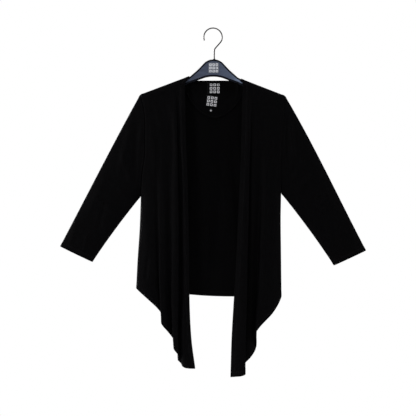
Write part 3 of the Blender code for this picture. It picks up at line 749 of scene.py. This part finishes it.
ARMHOLE_GAP = 0.0005
CUFF_DEPTH = 0.0110
SLEEVE_RINGS, CUFF_RINGS, CUFF_SHARE = 112, 22, 0.93
RING_POWER = 1.15  # over 1, the rings stand closer at the armhole
SLEEVE_FADE = (0.020, 0.006)  # creases fade out over this at the armhole, and in depth at both edges
RIGHT["cuff"] = ((-0.4392, -0.6258), (-0.3470, -0.6703), (0.0015, -0.0030))
LEFT["cuff"] = ((0.4394, -0.6376), (0.3478, -0.6802), (0.0040, -0.0035))
SLEEVE_CREASES = {
    "right": (
        (-232, -215, -278, -440, 8, 12, 2.6),
        (-212, -250, -224, -470, -6, 10, -2.6),
        (-222, -455, -262, -330, 10, 8, 1.8),
        (-240, -490, -330, -420, -6, 9, 2),
        (-275, -540, -350, -480, -4, 8, 1.8),
        (-300, -380, -380, -560, 10, 13, 1.6),
        (-330, -610, -300, -480, 6, 8, -1.4),
        (-390, -540, -415, -630, 3, 8, 1.2),
        (-352, -570, -372, -660, -3, 7, 1.2),
    ),
    "left": (
        (219, -235, 242, -420, -3, 6.5, 3),
        (207, -240, 222, -440, -4, 8, -2.6),
        (216, -450, 262, -350, -10, 8, 1.8),
        (236, -480, 318, -400, 6, 9, 1.8),
        (280, -540, 342, -470, 4, 8, 1.8),
        (290, -370, 372, -560, -10, 13, 1.4),
        (320, -600, 300, -480, -6, 8, -1.4),
        (392, -540, 410, -640, -3, 8, 1.4),
        (345, -570, 368, -670, 4, 7, 1.4),
    ),
}
# Which way the cloth leaves the body at the armhole, by share of the way down it.
ARMHOLE_WAY = table(
    ("share", "out", "up"),
    (0.00, 0.80, -0.60),
    (0.08, 0.93, -0.36),
    (0.30, 1.00, -0.05),
    (0.70, 1.00, 0.05),
    (1.00, 0.95, 0.32),
)


def sleeve_points(side, front, back):
    """Rings from armhole to cuff. Each starts at the top edge, comes down the front and goes up behind."""
    last = ARM_ROWS - 1
    ring = np.concatenate([front[: last + 1], back[last - 1 : 0 : -1]])
    ring[[0, last], 1] = 0
    way_share = spread(ARM_ROWS, ARM_CLOSER)
    share = np.concatenate([way_share, way_share[-2:0:-1]])
    face = np.concatenate([-np.ones(last + 1), np.ones(last - 1)])
    out = side["sign"] * through(ARMHOLE_WAY, share, "share", "out")
    up = through(ARMHOLE_WAY, share, "share", "up")
    start = ring + unit(np.stack([out, np.zeros(len(out)), up], axis=-1)) * ARMHOLE_GAP
    outer, inner, bow = (np.array(value) for value in side["cuff"])
    at_cuff = blend(outer, inner, (0.5 - 0.5 * np.cos(math.pi * share))[:, None])
    cuff_share = (at_cuff[:, 0] - outer[0]) / (inner[0] - outer[0])
    end = np.stack([at_cuff[:, 0], face * CUFF_DEPTH * oval(cuff_share), at_cuff[:, 1]], axis=-1)
    down = two_steps(CUFF_SHARE, SLEEVE_RINGS, CUFF_RINGS)[:, None, None] ** RING_POWER
    way_out = unit(np.array([outer[0] - inner[0], 0, outer[1] - inner[1]]))
    # The top edge bows most at a third of its length, the underarm seam at its middle.
    bows = bow[0] * down * (1 - down) ** 2 * 27 / 4, -bow[1] * down * (1 - down) * 4
    return blend(start, end, down) + blend(*bows, share[None, :, None]) * way_out


for side, name, edge in ((RIGHT, "right", 0), (LEFT, "left", -1)):
    points = sleeve_points(side, front_points(side)[:, 0], back_points()[:, edge])
    normals = normals_of(points)
    from_arm = along(points, 0)
    to_cuff = from_arm[-1:] - from_arm
    keep = ease(from_arm / SLEEVE_FADE[0]) * np.minimum(1, np.abs(points[..., 1]) / SLEEVE_FADE[1])
    points = creased(points, normals, SLEEVE_CREASES[name], keep)
    points += normals * seam_dip(from_arm)[..., None]
    normals = normals_of(points)
    outer, inner = hem_walls(to_cuff)
    cloth = shell(f"sleeve_{name}_cloth", points, normals, outer, inner, jersey, closed=True)
    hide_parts(f"sleeve_{name}")
    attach(cloth, "root")
    lines = [[np.concatenate([part, part[:1]]) for part in line_at(points, normals, at)] for at in NEEDLES]
    thread = stitches(f"cuff_{name}_stitches", lines, THREAD_OUT, black_thread)

# ---- Neck facing ---------------------------------------------------------------------------------
# A half-moon of the same jersey inside the back neck. Its lower edge is overlocked and shows as a scoop.

# Where the facing's columns stand at its scoop and, drawn in between the neck points, at its top.
FACING_WIDTHS = table(("low", "top"), (-0.0825, -0.064), (-0.055, -0.055), (0.065, 0.065), (0.0925, 0.0765))
FACING_MIDDLE = 0.005
FACING_OVAL = 0.0905
FACING_POWER = 1.7
FACING_DROP = 0.109
FACING_SPREAD = (0.22, 0.50)  # it widens between these shares of the way down
FACING_LIFT = 0.0020  # its middle, in from the middle of the back's cloth
FACING_SKINS = (0.0005, 0.0004)
SCOOP_ROLL = (0.0060, 0.0004)  # within this of its scoop it stands out by so much


def inside_back(across, height, lift):
    """Points on the back's own surface, moved this far in towards the wearer, and their normals."""
    share = spread(BACK_COLUMNS, BACK_CLOSER)
    place = (across - side_across(RIGHT, height)) / (side_across(LEFT, height) - side_across(RIGHT, height))
    column = np.clip(np.searchsorted(share, place, side="right") - 1, 0, len(share) - 2)
    beside = (place - share[column]) / (share[column + 1] - share[column])
    made = np.zeros((*across.shape, 6))
    both = np.concatenate([back, back_normals], axis=-1)
    for at in np.ndindex(across.shape):
        line = blend(both[:, column[at]], both[:, column[at] + 1], beside[at])
        made[at] = [np.interp(-height[at], -line[:, 2], line[:, i]) for i in range(6)]
    normal = -unit(made[..., 3:])
    return made[..., :3] + normal * lift, normal


columns = np.linspace(FACING_WIDTHS["low"][0], FACING_WIDTHS["low"][-1], 110)
off = np.abs(columns - FACING_MIDDLE) / FACING_OVAL
low = NECK_EDGE - FACING_DROP * (1 - off**FACING_POWER) ** (1 / FACING_POWER)
at_top = np.interp(columns, FACING_WIDTHS["low"], FACING_WIDTHS["top"])
share = np.linspace(0, 1, 60)[:, None]
facing_height = blend(back_top(at_top) - CLOTH / 2, low, share)
facing_across = blend(at_top, columns, ease((share - FACING_SPREAD[0]) / np.ptp(FACING_SPREAD)))
facing, facing_normals = inside_back(facing_across, facing_height, FACING_LIFT)
to_scoop = along(facing, 0)[-1:] - along(facing, 0)
facing = facing + facing_normals * (SCOOP_ROLL[1] * np.exp(-((to_scoop / SCOOP_ROLL[0]) ** 2)))[..., None]
facing_cloth = shell("facing_cloth", facing, facing_normals, *FACING_SKINS, jersey)
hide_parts("neck_facing")
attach(facing_cloth, "root")
scoop_line = line_at(facing, facing_normals, 0.0045)
scoop_thread = stitches("scoop_stitches", [scoop_line], 0.0006, black_thread, pitch=0.0026, length=0.0020)

# ---- Labels --------------------------------------------------------------------------------------
# Three short pieces of black woven ribbon, each sewn to the facing by its upper edge. Their woven patches
# show as pale squares in the neck. Here they carry only even rows of small open squares.


WEFT = 0.0005  # from one weft thread of the ribbon to the next
RIBBON_LIFT = 0.0013  # a label's middle, in from the facing's
CURL = 0.0010  # how far its free end would stand off if the whole label curled
RIBBON = 0.0006  # its thickness
SQUARE_LINE = (0.16, 0.31)  # its line's two edges, in from the middle of the gap, as shares of the pitch


def open_squares(tree, u, v, size, count):
    """Even rows of small open squares over a patch of this size about the middle, 1 on their lines."""
    rims, inside = [], 1.0
    for place, length, squares in zip((u, v), size, count):
        share = calc(tree, "ADD", calc(tree, "DIVIDE", place, length), 0.5)
        rims.append(calc(tree, "PINGPONG", calc(tree, "MULTIPLY", share, squares), 0.5))
        near = calc(tree, "LESS_THAN", calc(tree, "ABSOLUTE", place), length / 2)
        inside = calc(tree, "MULTIPLY", near, inside)
    rim = calc(tree, "MINIMUM", *rims)
    for test, limit in (("GREATER_THAN", SQUARE_LINE[0]), ("LESS_THAN", SQUARE_LINE[1])):
        inside = calc(tree, "MULTIPLY", calc(tree, test, rim, limit), inside)
    return inside


def two_colours(tree, factor, off, on):
    mix = tree.nodes.new("ShaderNodeMix")
    mix.data_type = "RGBA"
    return fill(tree, mix, {"Factor": factor, "A": (*off, 1), "B": (*on, 1)}).outputs["Result"]


def make_ribbon(name, size, patch, count, aside):
    """Black ribbon of this width and length, with pale open squares woven over a patch near its middle."""
    made, tree, shader = new_material(name, {"Roughness": 0.6, "Specular IOR Level": 0.06})
    u, v = chart_parts(tree)
    u = calc(tree, "SUBTRACT", u, size[0] / 2 + aside)
    v = calc(tree, "ADD", v, size[1] / 2)
    woven = open_squares(tree, u, v, patch, count)
    tint = two_colours(tree, woven, (0.002, 0.002, 0.0025), (0.86, 0.86, 0.90))
    weft = calc(tree, "SINE", calc(tree, "MULTIPLY", v, 2 * math.pi / WEFT))
    fill(tree, shader, {"Base Color": tint, "Normal": raised(tree, weft, 0.3, 0.0001)})
    return made


pale_thread = new_thread("grey thread", (0.20, 0.20, 0.21), 0.4)
for name, middle, level, width, length, turn, patch, count, aside in (
    ("label_neck", 0.0029, -0.1705, 0.0400, 0.0330, 0.0, (0.0310, 0.0300), (3, 3), 0.0020),
    ("label_lower", -0.0032, -0.2078, 0.0360, 0.0330, 8.0, (0.0310, 0.0300), (3, 3), 0.0),
    ("label_size", -0.0058, -0.2342, 0.0110, 0.0100, 8.0, (0.0060, 0.0054), (1, 1), 0.0),
):
    u, w = np.meshgrid(np.linspace(-width / 2, width / 2, 24), np.linspace(length / 2, -length / 2, 24))
    c, s = math.cos(math.radians(turn)), math.sin(math.radians(turn))
    points, normals = inside_back(middle + u * c + w * s, level + w * c - u * s, FACING_LIFT + RIBBON_LIFT)
    points = points + normals * (CURL * ease((length / 2 - w) / length - 0.5) ** 2)[..., None]
    weave = make_ribbon(f"{name} weave", (width, length), patch, count, aside)
    ribbon = shell(f"{name}_ribbon", points, normals, RIBBON / 2, RIBBON / 2, weave)
    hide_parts(name)
    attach(ribbon, "root")
    line = line_at(points[::-1], normals[::-1], 0.0012)
    small = {"pitch": 0.0020, "length": 0.0015, "half": 0.00018}
    sewn = stitches(f"{name}_stitches", [line], 0.0004, pale_thread, **small)

# ---- Hanger --------------------------------------------------------------------------------------
# A moulded navy plastic hanger, arched underneath, with a rolled rim round its faces, a flat pad at its
# middle, and arms that run down inside the shoulders. Its rim, edges, top and underside are painted
# near-black as shade.

RIM = 0.0030  # flat part of the rolled rim round both faces, beside its rounding, painted near-black as shade
RIM_PROUD = 0.0005
RIM_REACH = 0.130  # it ends this far out, inside the shoulders
SMOOTH_UNDER = math.radians(35)  # edges that turn by more stay sharp
HANGER_TILT = 0.010  # radians, the wearer's left side hangs lower
HANGER_ACROSS = 0.0018  # its middle, beside the hook's
# The moulding every so far out from its middle, in tenths of a millimetre.
HANGER_SECTIONS = table(
    ("out", "top", "low", "half"),
    (0, -892, -1378, 62),
    (90, -897, -1381, 62),
    (150, -918, -1390, 62),
    (236, -966, -1408, 62),
    (347, -1079, -1447, 61),
    (453, -1190, -1487, 60),
    (585, -1306, -1533, 58),
    (672, -1383, -1563, 57),
    (710, -1412, -1580, 57),
    (760, -1436, -1605, 56),
    (790, -1474, -1618, 56),
    (980, -1552, -1690, 56),
    (1500, -1740, -1864, 56),
    (1850, -1863, -1972, 54),
    (1930, -1903, -1980, 46),
    (1965, -1932, -1972, 28),
    per=10000,
)
ARM_SHOWS = 0.075  # how far out the arms show
STREAKS = (30, 60, 130)  # how often they change along, through and down the moulding


def place_in(tree):
    """The Object coordinates' socket, and those of their three parts."""
    place = tree.nodes.new("ShaderNodeTexCoord").outputs["Object"]
    return place, *add_node(tree, "SeparateXYZ", {0: place}).outputs


# The moulding's face has long soft streaks, and a painted highlight: paler towards both ends, more down the
# wearer's left arm, palest at its end.
plastic = {"Roughness": 0.30, "Coat Weight": 0.25, "Coat Roughness": 0.12}
navy_plastic, tree, shader = new_material("navy plastic", plastic)
place, out, _, _ = place_in(tree)
out = calc(tree, "DIVIDE", out, ARM_SHOWS)
arm_end_highlight = calc(tree, "MAXIMUM", calc(tree, "SUBTRACT", out, 0.65), 0.0)
stretched = add_node(tree, "Mapping", {"Vector": place, "Scale": STREAKS}).outputs["Vector"]
streak = add_node(tree, "TexNoise", {"Vector": stretched, "Scale": 1.0, "Detail": 2}).outputs["Fac"]
# The way out, its size and the arm's end raise the tone as painted highlight; the streaks add random tone.
tone = 0.15
for part, share in ((out, 0.26), (calc(tree, "ABSOLUTE", out), 0.20), (arm_end_highlight, 1.3), (streak, 0.7)):
    tone = calc(tree, "MULTIPLY_ADD", part, share, tone)
stops = (0.10, (0.037, 0.044, 0.068)), (0.667, (0.095, 0.120, 0.185)), (1.0, (0.200, 0.250, 0.360))
fill(tree, shader, {"Base Color": colour_ramp(tree, calc(tree, "DIVIDE", tone, 1.5), *stops)})
# This near-black finish is painted shade on the rim, edges, top and underside, where the rounded moulding
# turns from the light. The collar uses it too.
dark = {"Base Color": (0.004, 0.005, 0.009, 1), "Roughness": 0.40, "Specular IOR Level": 0.10}
rim_shade_and_collar = new_material("rim shade and collar", dark)[0]


def pick(choose):
    """In edit mode, selects the faces whose middles this test takes."""
    bpy.ops.mesh.select_all(action="DESELECT")
    bpy.ops.object.mode_set(mode="OBJECT")
    for face in bpy.context.object.data.polygons:
        face.select = bool(choose(face))
    bpy.ops.object.mode_set(mode="EDIT")
    bpy.ops.mesh.select_mode(type="FACE")


def round_edges(made, width, segments, over):
    """Bevels the active object's edges where its faces turn by more than this many degrees."""
    bevel = made.modifiers.new("rounded edges", "BEVEL")
    bevel.width, bevel.segments = width, segments
    bevel.limit_method, bevel.angle_limit = "ANGLE", math.radians(over)
    bpy.ops.object.modifier_apply(modifier="rounded edges")


outs = HANGER_SECTIONS["out"]
stops = np.unique(np.concatenate([outs, (outs[1:] + outs[:-1]) / 2, np.linspace(0, outs[-1], 40)]))
tops, lows, halves = (through(HANGER_SECTIONS, stops, "out", column) for column in ("top", "low", "half"))
middles, talls = (tops + lows) / 2, tops - lows
bpy.ops.object.select_all(action="DESELECT")
bpy.ops.mesh.primitive_cube_add(size=1, location=(0, 0, 0))
hanger = bpy.context.object
hanger.name = "hanger_moulding"
bpy.ops.object.mode_set(mode="EDIT")
bpy.ops.transform.resize(value=(2 * stops[1], 2 * halves[0], talls[0]))
bpy.ops.transform.translate(value=(0, 0, middles[0]))
for way in (1, -1):
    pick(lambda face: face.normal.x * way > 0.9 and face.center.x * way > stops[1] * 0.5)
    last = 0  # the cube has the middle section's shape as far as the first stop
    for i in range(2, len(stops)):
        step = (way * (stops[i] - stops[i - 1]), 0, middles[i] - middles[last])
        size = (1, halves[i] / halves[last], talls[i] / talls[last])
        bpy.ops.mesh.extrude_region_move(TRANSFORM_OT_translate={"value": step})
        bpy.ops.transform.resize(value=size, center_override=(way * stops[i], 0, middles[i]))
        last = i
bpy.ops.mesh.select_all(action="SELECT")
bpy.ops.object.mode_set(mode="OBJECT")
hanger.data.materials.append(navy_plastic)
hanger.data.materials.append(rim_shade_and_collar)
round_edges(hanger, 0.0026, 5, 50)
# Every face first takes the painted-shade finish; the insets below give the two faces' middles the navy
# plastic.
for face in hanger.data.polygons:
    face.material_index = 1
hanger.active_material_index = 0
bpy.ops.object.mode_set(mode="EDIT")
for way in (1, -1):
    pick(lambda face: face.normal.y * way > 0.995 and abs(face.center.x) < RIM_REACH)
    bpy.ops.mesh.inset(thickness=RIM, depth=-RIM_PROUD)
    bpy.ops.object.material_slot_assign()
bpy.ops.object.mode_set(mode="OBJECT")
for vertex in hanger.data.vertices:
    vertex.co.z -= HANGER_TILT * vertex.co.x
    vertex.co.x += HANGER_ACROSS
bpy.ops.object.shade_smooth_by_angle(angle=SMOOTH_UNDER)
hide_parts("hanger_body")
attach(hanger, "root")

PAD = 0.0295  # the square pad at the moulding's middle
PAD_PRINT = PAD - 0.002
PAD_HEIGHT = -0.1137
PAD_PROUD = 0.0004

pad_finish, tree, shader = new_material("printed pad", {"Roughness": 0.42})
_, across, _, upward = place_in(tree)
across = calc(tree, "SUBTRACT", across, HANGER_ACROSS)
upward = calc(tree, "SUBTRACT", upward, PAD_HEIGHT)
squares = open_squares(tree, across, upward, (PAD_PRINT, PAD_PRINT), (3, 3))
fill(tree, shader, {"Base Color": two_colours(tree, squares, (0.140, 0.152, 0.182), (0.80, 0.82, 0.88))})

bpy.ops.object.select_all(action="DESELECT")
bpy.ops.mesh.primitive_cube_add(size=1, location=(HANGER_ACROSS, 0, PAD_HEIGHT))
pad = bpy.context.object
pad.name = "hanger_pad"
pad.scale = (PAD, 2 * (halves[0] + PAD_PROUD), PAD)
bpy.ops.object.transform_apply(location=True, rotation=True, scale=True)
round_edges(pad, 0.0004, 3, 30)
bpy.ops.object.shade_smooth_by_angle(angle=SMOOTH_UNDER)
pad.data.materials.append(pad_finish)
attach(pad, "root")

# ---- Hook ----------------------------------------------------------------------------------------
# Grey steel wire, bent to an open hook with a cranked neck, and pressed into the top of the moulding.

HOOK_RADIUS = 0.025
WIRE_RADIUS = 0.00175
HOOK_ARC = (200, -18)
HOOK_CRANK = ((0.0228, -0.0385), (0.0066, -0.0565), (0.0036, -0.0610))
SHANK_END = -0.0940

DARKER_BELOW, PALER_OVER = -0.070, 0.020  # the wire's colour is darker down its shank, and grows paler over this height

steel_wire, tree, shader = new_material("grey steel wire", {"Metallic": 1.0, "Roughness": 0.38})
height = calc(tree, "DIVIDE", calc(tree, "SUBTRACT", place_in(tree)[3], DARKER_BELOW), PALER_OVER)
tint = colour_ramp(tree, height, (0.0, (0.018, 0.016, 0.016)), (1.0, (0.065, 0.060, 0.060)))
fill(tree, shader, {"Base Color": tint})

bend = HOOK_RADIUS + WIRE_RADIUS
angles = np.radians(np.linspace(*HOOK_ARC, 60))
route = [(bend * math.cos(a), bend * math.sin(a) - HOOK_RADIUS) for a in angles]
corners = np.array([route[-1], *HOOK_CRANK, (HOOK_CRANK[-1][0], SHANK_END)])
for start, end in zip(corners[:-1], corners[1:]):
    route += [tuple(blend(start, end, share)) for share in np.linspace(0, 1, 9)[1:]]
route = np.array(route)
for _ in range(14):
    route[1:-1] = (route[:-2] + 2 * route[1:-1] + route[2:]) / 4
route[:, 1] += WIRE_RADIUS - route[:, 1].max()
line = bpy.data.curves.new("hook_wire", "CURVE")
line.dimensions = "3D"
line.bevel_depth = WIRE_RADIUS
line.bevel_resolution = 5
line.use_fill_caps = True
spline = line.splines.new("POLY")
spline.points.add(len(route) - 1)
for point, (x, z) in zip(spline.points, route):
    point.co = (x, 0, z, 1)
line.materials.append(steel_wire)
add_piece("hook_wire", line)
bpy.ops.object.convert(target="MESH")
hook = bpy.context.object
hook.data.shade_smooth()
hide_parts("hanger_hook")
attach(hook, "root")

# A low dark collar round the wire, where it goes into the moulding.
COLLAR_RADIUS, COLLAR_TALL, COLLAR_HEIGHT = 0.0036, 0.0032, -0.0884

bpy.ops.object.select_all(action="DESELECT")
bpy.ops.mesh.primitive_cylinder_add(
    vertices=48, radius=COLLAR_RADIUS, depth=COLLAR_TALL, location=(HOOK_CRANK[-1][0], 0, COLLAR_HEIGHT)
)
collar = bpy.context.object
collar.name = "hook_collar"
bpy.ops.object.transform_apply(location=True, rotation=True, scale=True)
round_edges(collar, 0.0010, 4, 30)
bpy.ops.object.shade_smooth_by_angle(angle=SMOOTH_UNDER)
collar.data.materials.append(rim_shade_and_collar)
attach(collar, "root")
